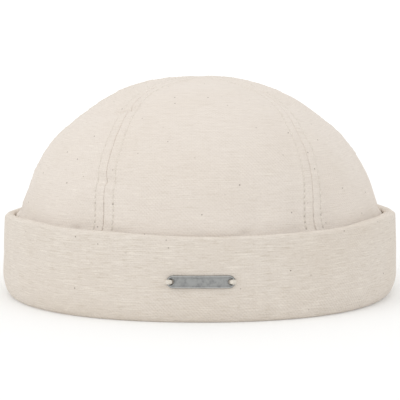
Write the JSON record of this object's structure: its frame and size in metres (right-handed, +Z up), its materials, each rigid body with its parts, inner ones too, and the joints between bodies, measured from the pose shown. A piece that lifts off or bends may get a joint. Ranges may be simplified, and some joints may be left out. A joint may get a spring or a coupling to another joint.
{
  "type": "docker cap",
  "caption": "Brimless cloth cap: a round crown of sewn gores over a turned-up band, with a small bare metal plate sewn on the front of the band.",
  "frame": {"origin": "middle of the footprint, on the surface that the cap rests on", "axes": "+Z up from the surface, -Y towards the cap's front with the plate, +X to the right of someone who looks at the front"},
  "size_m": [0.1829, 0.213, 0.0991],
  "materials": {
    "canvas": "unbleached cotton canvas, plain weave with slubs, matt",
    "plate_metal": "antiqued pewter-coloured metal, satin, with lighter worn edges",
    "tack_thread": "cream cotton thread, matt"
  },
  "bodies": {
    "root": {"crown_panel_front": "canvas", "crown_panel_front_right": "canvas", "crown_panel_back_right": "canvas", "crown_panel_back": "canvas", "crown_panel_back_left": "canvas", "crown_panel_front_left": "canvas", "cuff": "canvas", "plate": "plate_metal", "plate_tack_left": "tack_thread", "plate_tack_right": "tack_thread"}
  },
  "joints": []
}
